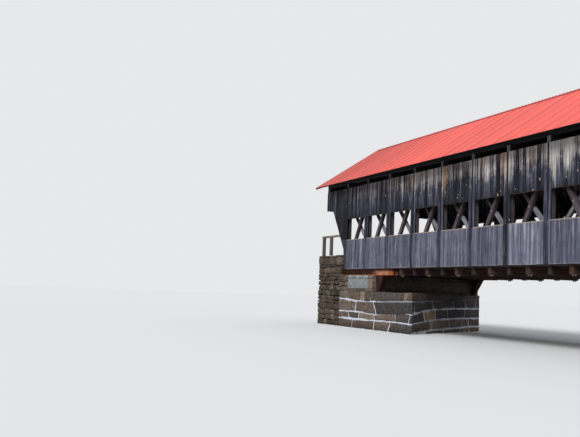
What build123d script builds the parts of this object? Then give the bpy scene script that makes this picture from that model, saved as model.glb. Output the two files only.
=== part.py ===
# A covered timber bridge on two cut stone abutments, in millimetres.
# Origin: middle of the span, on the centreline, at the foot of the masonry.
# X runs along the bridge and Z up. The near side faces -Y, and each end is the other turned half round.
import math
import os

from build123d import *

os.makedirs("parts", exist_ok=True)

# Along the bridge: panels of the trusses, then what reaches past the end posts
bay = 2286
post_size = 200
half_panels = 7
tail_panels = 5
end_lap = 40
slant_run = 1560
hood_step = 770
verge = 220
approach_reach = 390
seat_gap = 160
seat_depth = 3700
seat_skew = 800
base_reach = 3800
base_skew = 4450
bolster_reach = 1620
end_post = half_panels * bay
end_edge = end_post + post_size / 2 + end_lap
slant_out = end_edge + slant_run
hood_end = slant_out + hood_step
roof_end = hood_end + verge
approach_end = roof_end + approach_reach
seat_back = end_edge + seat_gap
seat_face = seat_back - seat_depth
base_corner = seat_face - base_reach
bolster_end = seat_face - bolster_reach

# Across the bridge, from the siding inwards
siding_face = 3200
siding_thick = 25
nailer_depth = 25
chord_leaf = 90
post_depth = 150
masonry_margin = 100
eave_overhang = 600
siding_front = siding_face - siding_thick
siding_back = siding_front - siding_thick
chord_outer = siding_back - nailer_depth
post_outer = chord_outer - chord_leaf
post_inner = post_outer - post_depth
chord_inner = post_inner - chord_leaf
masonry_half = siding_face + masonry_margin
eave_out = siding_face + eave_overhang

# Upwards, from the foot of the masonry to the floor
siding_bottom = 2950
chord_drop = 40
bolster_depth = 290
seat_height = 800
stringer_depth = 250
deck_thick = 75
lower_chord_bottom = siding_bottom - chord_drop
seat_top = lower_chord_bottom - bolster_depth
ledge = seat_top - seat_height
stringer_top = lower_chord_bottom + stringer_depth
deck_top = stringer_top + deck_thick

# Upwards, the walls
sill_height = 1530
window_height = 1090
above_windows = 1620
slant_foot = 900
hood_drop = 1030
sill = siding_bottom + sill_height
head = sill + window_height
siding_top = head + above_windows
slant_low = siding_bottom + slant_foot
slant_high = siding_top - hood_drop

# Truss timbers
lower_chord_depth = 330
upper_chord_depth = 310
upper_chord_lift = 20
post_tail = 300
main_depth = 180
main_thick = 140
main_toe = 110
counter_depth = 140
counter_thick = 115
counter_foot = 900
counter_head = 680
lower_chord_top = lower_chord_bottom + lower_chord_depth
upper_chord_top = siding_top + upper_chord_lift
upper_chord_bottom = upper_chord_top - upper_chord_depth

# Floor timbers
floor_beam_width = 220
floor_beam_depth = 300
floor_beam_setback = 120
short_beam_edge = 90
stringer_width = 150
stringer_rows = 7
stringer_edge = 50

# Timbers over the trusses
tie_width = 200
tie_depth = 240
plate_width = 200
lateral_width = 120
lateral_depth = 150
lateral_lift = 40
lateral_corner = 150

# Roof
eave_lift = 260
roof_pitch = 33.4
roof_skin = 45
rafter_depth = 200
rafter_width = 75
rafter_tip = 50
rafters_per_bay = 3
rafter_setback = 60
barge_thick = 45
ridge_board_width = 40
ridge_board_drop = 20
cap_half = 180
cap_rise = 12

# Siding, windows and nailers
pier_width = 370
nailer_height = 100
nailer_lift = 60
nailer_drop = 20
portal_half = 2500
portal_chamfer = 600
strut_depth = 150

# Stonework behind the seats, brackets and rails
approach_wall = 650
wing_rise = 485
bracket_top = 760
bracket_bottom = 150
bracket_foot = 150
rail_rise = 1080
rail_size = 110
rail_post = 150
rail_post_inset = 200
rail_post_clear = 230
rail_lap = 150


def box(x0, x1, y0, y1, z0, z1):
    """A squared timber or block between two corners."""
    made = Box(x1 - x0, y1 - y0, z1 - z0)
    return Pos((x0 + x1) / 2, (y0 + y1) / 2, (z0 + z1) / 2) * made


def along(points, y0, y1):
    """A side profile in X and Z, given thickness across the bridge."""
    face = make_face(Polyline(*[(x, y0, z) for x, z in points], close=True))
    return extrude(face, amount=y1 - y0, dir=(0, 1, 0))


def across(points, x0, x1):
    """A cross profile in Y and Z, run along the bridge."""
    face = make_face(Polyline(*[(x0, y, z) for y, z in points], close=True))
    return extrude(face, amount=x1 - x0, dir=(1, 0, 0))


def plan(points, z0, z1):
    """A plan profile in X and Y, raised from one level to another."""
    face = make_face(Polyline(*[(x, y, z0) for x, y in points], close=True))
    return extrude(face, amount=z1 - z0, dir=(0, 0, 1))


def bar(u0, v0, u1, v1, depth):
    """The outline of a straight timber through two points of its middle line, run on past both."""
    length = math.hypot(u1 - u0, v1 - v0)
    du, dv = (u1 - u0) / length, (v1 - v0) / length
    pu, pv = -dv * depth / 2, du * depth / 2
    u0, v0, u1, v1 = u0 - du * length, v0 - dv * length, u1 + du * length, v1 + dv * length
    return [(u0 + pu, v0 + pv), (u1 + pu, v1 + pv), (u1 - pu, v1 - pv), (u0 - pu, v0 - pv)]


def across_from(side, inner, outer):
    """The two Y values of a piece between two distances from the centreline, in rising order."""
    return sorted((side * inner, side * outer))


def turned(shapes):
    """The same pieces after half a turn about the middle of the span."""
    return [Rot(0, 0, 180) * shape for shape in shapes]


def both_halves(shapes):
    """Pieces of the left half with their mirror images in the right half."""
    return list(shapes) + [mirror(shape, Plane.YZ) for shape in shapes]


def save(name, shapes):
    """Write one node, with its separate solids side by side."""
    bodies = [solid for shape in shapes for solid in shape.solids()]
    made = bodies[0] if len(bodies) == 1 else Compound(bodies)
    export_step(made, f"parts/{name}.step")


def save_sides(name, shapes):
    """Write a node of the near side, and the same one turned half round on the far side."""
    save(f"{name}_near", shapes)
    save(f"{name}_far", turned(shapes))


def save_ends(name, shapes):
    """Write a node of the pieces at the end at -X, and the same ones turned half round at the other."""
    save(name, list(shapes) + turned(shapes))


posts = range(-half_panels, half_panels + 1)
panels = range(-half_panels, half_panels)

# Stone abutments: a skewed base, a seat block set back on it, and the approach held between wing walls
base_plan = [(-seat_back, -masonry_half), (-base_corner, -masonry_half),
             (-base_corner - base_skew, masonry_half), (-seat_back, masonry_half)]
seat_plan = [(-seat_back, -masonry_half), (-seat_face, -masonry_half),
             (-seat_face - seat_skew, masonry_half), (-seat_back, masonry_half)]
seat = plan(seat_plan, ledge, seat_top)
save_ends("abutment_bases", [plan(base_plan, 0, ledge)])
save_ends("abutment_seats", [seat])
fill_half = masonry_half - approach_wall
wing_top = deck_top + wing_rise
save_ends("approach_fills", [box(-approach_end, -seat_back, -fill_half, fill_half, 0, deck_top)])
save_ends("wing_walls", [box(-approach_end, -seat_back, *across_from(side, fill_half, masonry_half), 0, wing_top)
                         for side in (-1, 1)])

# Guard rails of the approach, laid on posts that stand on the wing walls, and nailed inside the closed ends
rails = []
posts_of_rails = []
rail_bottom = wing_top + rail_rise - rail_size
slant_there = end_edge + slant_run * (rail_bottom - slant_low) / (slant_high - slant_low)
for side in (-1, 1):
    middle = side * (siding_back - rail_size / 2)
    rails.append(box(-approach_end, rail_lap - slant_there, middle - rail_size / 2, middle + rail_size / 2,
                     rail_bottom, rail_bottom + rail_size))
    for x in (-slant_out - rail_post_clear, -approach_end + rail_post_inset):
        posts_of_rails.append(box(x - rail_post / 2, x + rail_post / 2, middle - rail_post / 2,
                                  middle + rail_post / 2, wing_top, rail_bottom))
save_ends("approach_rails", rails)
save_ends("rail_posts", posts_of_rails)


def setback(side):
    """How much further back the skewed face of the seat lies under the truss of one side."""
    return -seat_skew if side > 0 else 0


# Bolsters under both leaves of the lower chords, running out past the last post with a tail
bolsters = []
for side in (-1, 1):
    for inner, outer in ((post_outer, chord_outer), (chord_inner, post_inner)):
        bolsters.append(box(-seat_back, setback(side) - bolster_end, *across_from(side, inner, outer),
                            seat_top, lower_chord_bottom))
save_ends("bolsters", bolsters)

# Brackets from the ledge up to the bolsters, tapered both ways to a small foot and cut to the seat's face
brackets = []
for side in (-1, 1):
    face = setback(side) - seat_face
    profile = [(face - bracket_bottom, seat_top), (face + bracket_top, seat_top),
               (face + bracket_bottom, ledge), (face - bracket_bottom, ledge)]
    inner, outer = across_from(side, chord_inner, chord_outer)
    middle = (inner + outer) / 2
    taper = across([(inner, seat_top), (outer, seat_top), (middle + bracket_foot / 2, ledge),
                    (middle - bracket_foot / 2, ledge)], face - bracket_top, face + bracket_top)
    brackets.append((along(profile, inner, outer) & taper) - seat)
save_ends("bolster_brackets", brackets)

# Floor: cross beams hung under the chords, short ones on the seats, stringers and planks
beam_half = siding_face - floor_beam_setback
beams = []
for n in range(-tail_panels, tail_panels):
    x = (n + 0.5) * bay
    beams.append(box(x - floor_beam_width / 2, x + floor_beam_width / 2, -beam_half, beam_half,
                     lower_chord_bottom - floor_beam_depth, lower_chord_bottom))
seat_start = seat_face + seat_skew
for x in (seat_start + short_beam_edge + floor_beam_width / 2, (seat_start + seat_back) / 2,
          seat_back - short_beam_edge - floor_beam_width / 2):
    for way in (-1, 1):
        beams.append(box(way * x - floor_beam_width / 2, way * x + floor_beam_width / 2,
                         -chord_inner, chord_inner, seat_top, lower_chord_bottom))
save("floor_beams", beams)

stringer_half = chord_inner - stringer_edge - stringer_width / 2
stringers = []
for row in range(stringer_rows):
    y = -stringer_half + row * 2 * stringer_half / (stringer_rows - 1)
    stringers.append(box(-seat_back, seat_back, y - stringer_width / 2, y + stringer_width / 2,
                         lower_chord_bottom, stringer_top))
save("stringers", stringers)
save("deck_planks", [box(-seat_back, seat_back, -chord_inner, chord_inner, stringer_top, deck_top)])


# Trusses: main braces between the posts rise towards the middle of the span
def chord(x_end, z0, z1):
    """The two leaves of a chord, outside and inside the posts."""
    return [box(-x_end, x_end, -chord_outer, -post_outer, z0, z1),
            box(-x_end, x_end, -post_inner, -chord_inner, z0, z1)]


save_sides("lower_chord", chord(end_post + post_size / 2, lower_chord_bottom, lower_chord_top))
save_sides("upper_chord", chord(hood_end - siding_thick, upper_chord_bottom, upper_chord_top))

mains = []
counters = []
for n in range(-half_panels, 0):
    left, right = n * bay, (n + 1) * bay
    outline = bar(left + post_size / 2, lower_chord_top + main_toe,
                  right - post_size / 2, upper_chord_bottom - main_toe, main_depth)
    room = box(left + post_size / 2, right - post_size / 2, -post_outer, -post_inner,
               lower_chord_top, upper_chord_bottom)
    mains.append(along(outline, -post_inner - main_thick, -post_inner) & room)
    outline = bar(left, upper_chord_bottom - counter_head, right, siding_bottom + counter_foot, counter_depth)
    room = box(max(left - bay, -end_post - post_size / 2), min(right + bay, 0),
               -post_inner, counter_thick - post_inner, lower_chord_top, upper_chord_bottom)
    counters.append(along(outline, -post_inner, counter_thick - post_inner) & room)
save_sides("main_braces", both_halves(mains))
save_sides("counterbraces", both_halves(counters))
truss_posts = []
for n in posts:
    x = n * bay
    foot = lower_chord_bottom - (post_tail if abs(n) <= tail_panels else 0)
    truss_posts.append(box(x - post_size / 2, x + post_size / 2, -post_outer, -post_inner,
                           foot, upper_chord_top))
save_sides("truss_posts", truss_posts)

# Tie beams over the chords, their ends showing above the siding
tie_top = upper_chord_top + tie_depth
hood_tie = hood_end - siding_thick - tie_width / 2
ties = [box(x - tie_width / 2, x + tie_width / 2, -chord_outer, chord_outer, upper_chord_top, tie_top)
        for x in [n * bay for n in posts] + [-hood_tie, hood_tie]]
save("tie_beams", ties)

# Lateral braces laid in crosses between the tie beams, one whole and one in two halves
lateral_bottom = upper_chord_top + lateral_lift
laterals = []
for n in panels:
    left, right = n * bay + tie_width / 2, (n + 1) * bay - tie_width / 2
    reach = chord_inner - lateral_corner
    room = box(left, right, -chord_inner, chord_inner, lateral_bottom, lateral_bottom + lateral_depth)
    whole = plan(bar(left, -reach, right, reach, lateral_width), lateral_bottom,
                 lateral_bottom + lateral_depth) & room
    halves = plan(bar(left, reach, right, -reach, lateral_width), lateral_bottom,
                  lateral_bottom + lateral_depth) & room
    laterals += [whole, halves - whole]
save("lateral_braces", laterals)

# Roof: bevelled wall plates, rafters with tapered tails, ridge board, barge boards, two slopes and a cap
slope = math.tan(math.radians(roof_pitch))
skin_drop = roof_skin / math.cos(math.radians(roof_pitch))
rafter_drop = rafter_depth / math.cos(math.radians(roof_pitch))
eave_top = siding_top + eave_lift
ridge_top = eave_top + eave_out * slope


def roof_z(y):
    """Height of the roof's upper surface at a distance from the centreline."""
    return ridge_top - abs(y) * slope


def sheathing_z(y):
    """Height of the roof's lower surface, on which the rafters' tops lie."""
    return roof_z(y) - skin_drop


plate_inner = chord_outer - plate_width
plate_profile = [(-chord_outer, tie_top), (-plate_inner, tie_top),
                 (-plate_inner, sheathing_z(plate_inner) - rafter_drop),
                 (-chord_outer, sheathing_z(chord_outer) - rafter_drop)]
plate = across(plate_profile, -hood_end + siding_thick, hood_end - siding_thick)
save("wall_plates", [plate] + turned([plate]))

rafter_foot = eave_out - rafter_setback
rafter_head = ridge_board_width / 2
tip_drop = rafter_tip / math.cos(math.radians(roof_pitch))
rafter_profile = [(-rafter_foot, sheathing_z(rafter_foot)), (-rafter_head, sheathing_z(rafter_head)),
                  (-rafter_head, sheathing_z(rafter_head) - rafter_drop),
                  (-chord_outer, sheathing_z(chord_outer) - rafter_drop),
                  (-rafter_foot, sheathing_z(rafter_foot) - tip_drop)]
rafter_end = hood_end - siding_thick - rafter_width / 2
rafter_gaps = round(2 * rafter_end / bay * rafters_per_bay)
rafters = []
for k in range(rafter_gaps + 1):
    x = -rafter_end + k * 2 * rafter_end / rafter_gaps
    rafters.append(across(rafter_profile, x - rafter_width / 2, x + rafter_width / 2))
save("rafters", rafters + turned(rafters))
ridge_end = hood_end - siding_thick
save("ridge_board", [box(-ridge_end, ridge_end, -rafter_head, rafter_head,
                         sheathing_z(0) - rafter_drop - ridge_board_drop, sheathing_z(rafter_head))])
barge_profile = [(-eave_out, sheathing_z(eave_out)), (0, sheathing_z(0)),
                 (0, sheathing_z(0) - rafter_drop), (-chord_outer, sheathing_z(chord_outer) - rafter_drop),
                 (-eave_out, sheathing_z(eave_out) - tip_drop)]
save_sides("barge_boards", both_halves([across(barge_profile, -roof_end, -roof_end + barge_thick)]))
slope_profile = [(-eave_out, eave_top), (0, ridge_top), (0, sheathing_z(0)), (-eave_out, sheathing_z(eave_out))]
save_sides("roof_slope", [across(slope_profile, -roof_end, roof_end)])
cap_profile = [(-cap_half, roof_z(cap_half)), (0, ridge_top), (cap_half, roof_z(cap_half)),
               (cap_half, roof_z(cap_half) + cap_rise), (0, ridge_top + cap_rise),
               (-cap_half, roof_z(cap_half) + cap_rise)]
save("ridge_cap", [across(cap_profile, -roof_end, roof_end)])

# Siding of vertical boards: full height piers over the posts, shorter boards under and over the windows,
# and a second layer on the boards under the windows
window_edge = end_post - pier_width / 2
piers = []
lower_boards = []
upper_boards = []
for n in posts[1:-1]:
    piers.append(box(n * bay - pier_width / 2, n * bay + pier_width / 2, -siding_front, -siding_back,
                     siding_bottom, siding_top))
for n in panels:
    left, right = n * bay + pier_width / 2, (n + 1) * bay - pier_width / 2
    lower_boards.append(box(left, right, -siding_face, -siding_back, siding_bottom, sill))
    upper_boards.append(box(left, right, -siding_front, -siding_back, head, siding_top))
save_sides("window_piers", piers)
save_sides("siding_lower", lower_boards)
save_sides("siding_upper", upper_boards)

# Closed ends of the siding, slanting out to the hood
end_profile = [(-window_edge, siding_bottom), (-window_edge, siding_top), (-hood_end, siding_top),
               (-hood_end, slant_high), (-slant_out, slant_high), (-end_edge, slant_low),
               (-end_edge, siding_bottom)]
save_ends("end_panels", both_halves([along(end_profile, -siding_front, -siding_back)]))

# Nailers behind the siding: two on the chords, and deeper ones against the posts at sill and head
nailers = []
for z0, back in ((siding_bottom + nailer_lift, chord_outer), (sill - nailer_height, post_outer),
                 (head, post_outer), (siding_top - nailer_height - nailer_drop, chord_outer)):
    nailers.append(box(-end_edge, end_edge, -siding_back, -back, z0, z0 + nailer_height))
save("nailers", nailers + turned(nailers))

# Portals: a boarded gable over the opening at each end
gable_profile = [(-siding_back, slant_high), (-siding_back, sheathing_z(siding_back)), (0, sheathing_z(0)),
                 (siding_back, sheathing_z(siding_back)), (siding_back, slant_high),
                 (portal_half, slant_high), (portal_half - portal_chamfer, upper_chord_bottom),
                 (-portal_half + portal_chamfer, upper_chord_bottom), (-portal_half, slant_high)]
gable = across(gable_profile, -hood_end, -hood_end + siding_thick)
save_ends("portal_gables", [gable])

# Slanting struts of the hood, from the end posts up to the chords, in line with the end panels' edge
strut_slope = (slant_high - slant_low) / slant_run
strut_level = strut_depth * math.hypot(1, strut_slope) / strut_slope
strut_x = end_post + post_size / 2
strut_out = strut_x + (upper_chord_bottom - slant_low) / strut_slope
strut_profile = [(-strut_x, slant_low), (-strut_out, upper_chord_bottom),
                 (-strut_out + strut_level, upper_chord_bottom), (-strut_x, slant_low + strut_level * strut_slope)]
struts = [along(strut_profile, *across_from(side, post_inner, post_outer)) for side in (-1, 1)]
save_ends("hood_struts", struts)
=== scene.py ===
import math
import random

import bpy
from mathutils import Matrix, Vector, noise


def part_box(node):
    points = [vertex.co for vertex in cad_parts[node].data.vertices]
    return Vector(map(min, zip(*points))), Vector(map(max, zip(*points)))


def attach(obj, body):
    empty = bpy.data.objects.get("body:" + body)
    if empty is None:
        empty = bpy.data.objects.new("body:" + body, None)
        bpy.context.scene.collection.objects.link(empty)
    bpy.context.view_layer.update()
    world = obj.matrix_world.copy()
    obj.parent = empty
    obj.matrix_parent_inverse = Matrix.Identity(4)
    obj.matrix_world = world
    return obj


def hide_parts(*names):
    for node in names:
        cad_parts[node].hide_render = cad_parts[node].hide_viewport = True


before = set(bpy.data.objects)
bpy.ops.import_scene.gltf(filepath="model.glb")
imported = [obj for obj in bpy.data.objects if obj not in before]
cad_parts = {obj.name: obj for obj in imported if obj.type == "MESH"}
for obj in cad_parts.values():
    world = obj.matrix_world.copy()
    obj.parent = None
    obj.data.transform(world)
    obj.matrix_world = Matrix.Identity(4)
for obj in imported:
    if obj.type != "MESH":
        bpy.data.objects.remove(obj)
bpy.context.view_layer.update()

# The camera stands low beside the bridge and looks along its near side to the far end.
# It is tipped up a few degrees and a little rolled, as in the photograph.
scene = bpy.context.scene
lens = bpy.data.cameras.new("camera")
lens.sensor_width = 36
lens.lens = 51.5
lens.clip_end = 400
camera = bpy.data.objects.new("camera", lens)
scene.collection.objects.link(camera)
camera_place = (23.22, -21.96, 1.71)
heading, tip, roll = (math.radians(angle) for angle in (68.3, 94.99, 2.13))
camera.matrix_world = (Matrix.Translation(camera_place) @ Matrix.Rotation(heading, 4, "Z")
                       @ Matrix.Rotation(tip, 4, "X") @ Matrix.Rotation(roll, 4, "Z"))
scene.camera = camera
scene.view_settings.view_transform = "Standard"


# The studio: a pale floor, soft light from all round that is brightest overhead, and one broad lamp on the
# camera's side. The pale surround is what the camera and the gloss see, and the floor throws little light
# up under the bridge.
def shade(red, green, blue):
    """A colour as a screen shows it, 0 to 255, on the shader's own scale."""
    linear = (((c / 255 + 0.055) / 1.055) ** 2.4 if c > 10 else c / 3294.6 for c in (red, green, blue))
    return (*linear, 1)


def put(finish, kind, *inputs, **settings):
    """Adds a node. Its inputs are numbers, colours or other nodes' outputs, and None leaves one as it is."""
    node = finish.node_tree.nodes.new("ShaderNode" + kind)
    for key, value in settings.items():
        setattr(node, key, value)
    for socket, value in zip(node.inputs, inputs):
        if isinstance(value, bpy.types.NodeSocket):
            finish.node_tree.links.new(value, socket)
        elif value is not None:
            socket.default_value = value
    return node


def ranged(finish, value, low, high, at_low, at_high):
    """Turns the stretch of a value from low to high into another stretch, and holds it there beyond both."""
    return put(finish, "MapRange", value, low, high, at_low, at_high).outputs["Result"]


def reckoned(finish, operation, *values, **settings):
    """A sum, a product or the like of numbers and of other nodes' outputs."""
    return put(finish, "Math", *values, operation=operation, **settings).outputs[0]


def mixed(finish, share, under, over, **settings):
    """One colour laid over another, by a share from 0 to 1."""
    return put(finish, "MixRGB", share, under, over, **settings).outputs["Color"]


def as_background(finish):
    """1 where the camera, gloss or glass looks at the surround, and 0 where it only lights the bridge."""
    ray = put(finish, "LightPath").outputs
    seen = reckoned(finish, "MAXIMUM", ray["Is Camera Ray"], ray["Is Glossy Ray"])
    return reckoned(finish, "MAXIMUM", seen, ray["Is Transmission Ray"])


def new_finish(name, roughness, specular=0.25, metallic=0.0):
    """A finish that is ready for the nodes that colour it."""
    finish = bpy.data.materials.new(name)
    finish.use_nodes = True
    inputs = finish.node_tree.nodes["Principled BSDF"].inputs
    inputs["Roughness"].default_value = roughness
    inputs["Specular IOR Level"].default_value = specular
    inputs["Metallic"].default_value = metallic
    return finish


def coat(finish, colour, height=None, strength=0.0, depth=0.0, **settings):
    """Gives a finish its colour and, from a height, a relief with its strength and its depth in metres."""
    inputs = finish.node_tree.nodes["Principled BSDF"].inputs
    finish.node_tree.links.new(colour, inputs["Base Color"])
    if height is not None:
        relief = put(finish, "Bump", strength, depth, None, height, **settings)
        finish.node_tree.links.new(relief.outputs["Normal"], inputs["Normal"])


surround = bpy.data.worlds.new("surround")
surround.use_nodes = True
scene.world = surround
low_light, high_light, backdrop = (0.16, 0.16, 0.17, 1), (0.52, 0.54, 0.58, 1), (0.8, 0.81, 0.82, 1)
upward = put(surround, "SeparateXYZ", put(surround, "TexCoord").outputs["Generated"]).outputs["Z"]
dome = mixed(surround, ranged(surround, upward, -0.3, 0.8, 0.0, 1.0), low_light, high_light)
surround_colour = mixed(surround, as_background(surround), dome, backdrop)
surround.node_tree.links.new(surround_colour, surround.node_tree.nodes["Background"].inputs["Color"])

lamp = bpy.data.lights.new("broad lamp", "SUN")
lamp.energy = 2.05
lamp.angle = math.radians(24)
lamp_stand = bpy.data.objects.new("broad lamp", lamp)
toward_lamp = Vector((0.50, -0.62, 0.66))
lamp_stand.rotation_euler = toward_lamp.to_track_quat("Z", "Y").to_euler()
scene.collection.objects.link(lamp_stand)

floor_half = 300
floor_drop = 0.003
floor_mesh = bpy.data.meshes.new("floor")
floor_mesh.from_pydata([(x * floor_half, y * floor_half, -floor_drop)
                        for x, y in ((-1, -1), (1, -1), (1, 1), (-1, 1))], [], [(0, 1, 2, 3)])
floor = bpy.data.objects.new("floor", floor_mesh)
scene.collection.objects.link(floor)
floor_finish = new_finish("pale floor", 0.95, 0.0)
floor_under, floor_seen = (0.28, 0.28, 0.28, 1), (0.88, 0.88, 0.87, 1)
coat(floor_finish, mixed(floor_finish, as_background(floor_finish), floor_under, floor_seen))
floor_mesh.materials.append(floor_finish)


# Abutment bases: split granite in uneven courses, in beds of pale mortar pointed nearly flush with it.
# The joints of the near and the skewed face follow the photograph, stone by stone where it shows them. Each
# stone is a face block with worn edges, set against a core of mortar and mitred at the corners.
base_low, base_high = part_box("abutment_bases")
wing_low, wing_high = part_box("wing_walls")
back = base_low.x
wide = base_high.y
ledge = base_high.z
# The noise that wears the stones starts from a set seed, so that they come out the same each time.
noise.seed_set(5)


def held(value, low, high):
    """A value kept between two limits."""
    return min(max(value, low), high)


def rounded_block(corners, cell, soft, rough, seed, pressed=Vector((0, 0, 0)), **facts):
    """Points and faces of one stone between eight corners (along, in, up), with worn edges and uneven faces.
    cell is the space between its points, soft the radius of its edges and rough how far its faces wander.
    pressed points across the face that is dressed flatter, and would flatten it wholly if it were 1 long.
    No point goes past the ends, the sides or the foot of the box that holds the masonry."""
    edges = [(corners[n] - corners[0]).length for n in (1, 2, 4)]
    soft = min(soft, min(edges) / 3)
    marks = []
    for edge in edges:
        flat = edge - 2 * soft
        cells = held(round(flat / cell), 1, 9)
        marks.append([0, soft] + [soft + flat * k / cells for k in range(1, cells)] + [edge - soft, edge])
    last = [len(m) - 1 for m in marks]
    shift = Vector((seed * 3.1, seed * 1.7, seed * 2.3))
    points = []
    spots = {}
    for i, a in enumerate(marks[0]):
        for j, b in enumerate(marks[1]):
            for k, c in enumerate(marks[2]):
                if 0 < i < last[0] and 0 < j < last[1] and 0 < k < last[2]:
                    continue
                inside = [held(v, soft, edge - soft) for v, edge in zip((a, b, c), edges)]
                out = Vector((a - inside[0], b - inside[1], c - inside[2]))
                if out.length > soft:
                    out *= soft / out.length
                u, v, w = ((inside[n] + out[n]) / edges[n] for n in range(3))
                low = corners[0].lerp(corners[1], u).lerp(corners[2].lerp(corners[3], u), v)
                high = corners[4].lerp(corners[5], u).lerp(corners[6].lerp(corners[7], u), v)
                point = low.lerp(high, w)
                sway = noise.noise_vector(point * 2.6 + shift) * rough
                sway += noise.noise_vector(point * 9 + shift) * rough * 0.5
                point += sway - pressed * sway.dot(pressed)
                spots[i, j, k] = len(points)
                points.append(Vector((held(point.x, wing_low.x, wing_high.x), held(point.y, -wide, wide),
                                      max(point.z, 0.0))))
    faces = []
    for axis in range(3):
        one, two = [n for n in range(3) if n != axis]
        for side in (0, last[axis]):
            for p in range(last[one]):
                for q in range(last[two]):
                    ring = []
                    for dp, dq in ((0, 0), (1, 0), (1, 1), (0, 1)):
                        spot = [0, 0, 0]
                        spot[axis], spot[one], spot[two] = side, p + dp, q + dq
                        ring.append(spots[tuple(spot)])
                    faces.append(ring if (side > 0) == (axis != 1) else ring[::-1])
    return points, faces, facts


def joined(name, parts, smooth=False):
    """One object from many parts, each with its points, faces and the numbers that its finish reads."""
    points = []
    faces = []
    facts = {}
    for part_points, part_faces, part_facts in parts:
        start = len(points)
        points += [tuple(point) for point in part_points]
        faces += [[start + n for n in face] for face in part_faces]
        for key, value in part_facts.items():
            facts.setdefault(key, []).extend([value] * len(part_points))
    mesh = bpy.data.meshes.new(name)
    mesh.from_pydata(points, [], faces)
    for key, values in facts.items():
        mesh.attributes.new(key, "FLOAT", "POINT").data.foreach_set("value", values)
    mesh.polygons.foreach_set("use_smooth", [smooth] * len(faces))
    made = bpy.data.objects.new(name, mesh)
    scene.collection.objects.link(made)
    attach(made, "root")
    return made


def in_place_of(node, piece, finish):
    """Shows a made piece with its finish instead of the plain solids of a node."""
    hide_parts(node)
    piece.data.materials.append(finish)


def bed_height(bed, u):
    """Height of a bed joint, which is a list of places (distance, height), at a distance along the face."""
    if u <= bed[0][0]:
        return bed[0][1]
    for (u0, z0), (u1, z1) in zip(bed, bed[1:]):
        if u <= u1:
            return z0 + (z1 - z0) * (u - u0) / (u1 - u0)
    return bed[-1][1]


def walled(start, end, beds, uprights, dice, depth, gap, cell, soft, rough, dressed=0.0, mitre=(0, 0),
           turn=1):
    """Stones of one face of a wall, between bed joints and upright joints (distance at foot, at head, tone).
    gap is the width of a joint. mitre gives how far the back of the first and the last stone is cut away, for
    each metre of depth. There the stones of two faces meet as one corner stone, with no joint between them.
    turn is -1 at the bridge's other end, which is the same turned half round."""
    run = (end - start).length
    along = (end - start) / run
    inward = Vector((-along.y, along.x))
    pressed = Vector((turn * inward.x, turn * inward.y, 0)) * dressed
    thinnest = 0.03
    stones = []
    for low, high, cuts in zip(beds, beds[1:], uprights):
        cuts = [(0.0, 0.0, cuts[0][2])] + cuts[1:] + [(run, run, 0)]
        for n, ((a0, a1, tone), (b0, b1, _)) in enumerate(zip(cuts, cuts[1:])):
            first_mitre = mitre[0] if n == 0 else 0
            last_mitre = mitre[1] if n == len(cuts) - 2 else 0
            corners = []
            for bed, a, b, way in ((low, a0, b0, 1), (high, a1, b1, -1)):
                half_joint = 0 if bed is beds[0] or bed is beds[-1] else way * gap / 2
                for deep in (0.0, depth):
                    for u, cut, into in ((a, first_mitre, 1), (b, last_mitre, -1)):
                        spot = start + along * (u + into * (cut * deep if cut else gap / 2)) + inward * deep
                        height = bed_height(bed, u) + half_joint
                        corners.append(Vector((turn * spot.x, turn * spot.y, height)))
            if min(corners[4].z - corners[0].z, corners[5].z - corners[1].z) > thinnest:
                stones.append(rounded_block(corners, cell, soft, rough, dice.uniform(0, 40), pressed,
                                            tone=tone))
    return stones


def random_joints(run, shortest, longest, dice, lean=0.0):
    """Upright joints at random distances, each stone with its own tone."""
    cuts = [(0.0, 0.0, dice.random())]
    while run - cuts[-1][0] > longest * 1.4:
        u = cuts[-1][0] + dice.uniform(shortest, longest)
        cuts.append((u - dice.uniform(-lean, lean), u + dice.uniform(-lean, lean), dice.random()))
    return cuts


near_back, far_back = Vector((back, -wide)), Vector((back, wide))
base_corner = Vector((-8.802, -wide))
base_heel = Vector((-13.252, wide))
sharp_mitre, blunt_mitre = 1.88, 0.53
near_joint, skew_joint = 0.055, 0.07
base_stone = {"depth": 0.15, "cell": 0.13, "soft": 0.03, "rough": 0.035, "dressed": 0.8}
near_beds = [
    [(0, 0)],
    [(0, .47), (1.26, .47), (1.65, .40), (2.3, .47), (3.38, .44), (6.1, .47), (7.5, .44)],
    [(0, .80), (1.9, .82), (2.92, .79), (4.14, .73), (5.05, .78), (5.84, .83), (6.05, .92), (7.13, .95),
     (7.5, .85)],
    [(0, 1.43), (1.0, 1.43), (1.87, 1.34), (3.33, 1.33), (4.69, 1.39), (7.5, 1.44)],
    [(0, ledge)]]
near_uprights = [
    [(0, 0, .5), (1.56, 1.6, .45), (3.9, 3.95, .6), (5.3, 5.56, .25)],
    [(0, 0, .6), (1.2, 1.1, .3), (2.28, 2.32, .8), (4.0, 3.9, .65), (6.02, 6.0, .25), (7.2, 7.34, .15)],
    [(0, 0, .7), (1.9, 1.98, .55), (4.14, 3.8, .1)],
    [(0, 0, .7), (1.1, 1.15, .55), (2.45, 2.4, .95), (2.8, 2.85, .4), (3.5, 3.62, .3), (6.7, 6.8, .85),
     (7.05, 7.1, .5)]]
skew_beds = [
    [(0, 0)],
    [(1.15, .04), (1.58, .14), (2.49, .17), (5.13, .2), (6.5, .26), (7.96, .27)],
    [(0, .44), (.69, .48), (1.47, .56), (2.65, .62), (4.39, .67), (7.96, .67)],
    [(0, .85), (.32, .95), (1.15, .97), (1.25, 1.07), (3.0, 1.11), (4.67, 1.15), (7.96, 1.15)],
    [(0, 1.44), (2.42, 1.49), (4.65, 1.56), (7.96, 1.64)],
    [(0, ledge)]]
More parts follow.
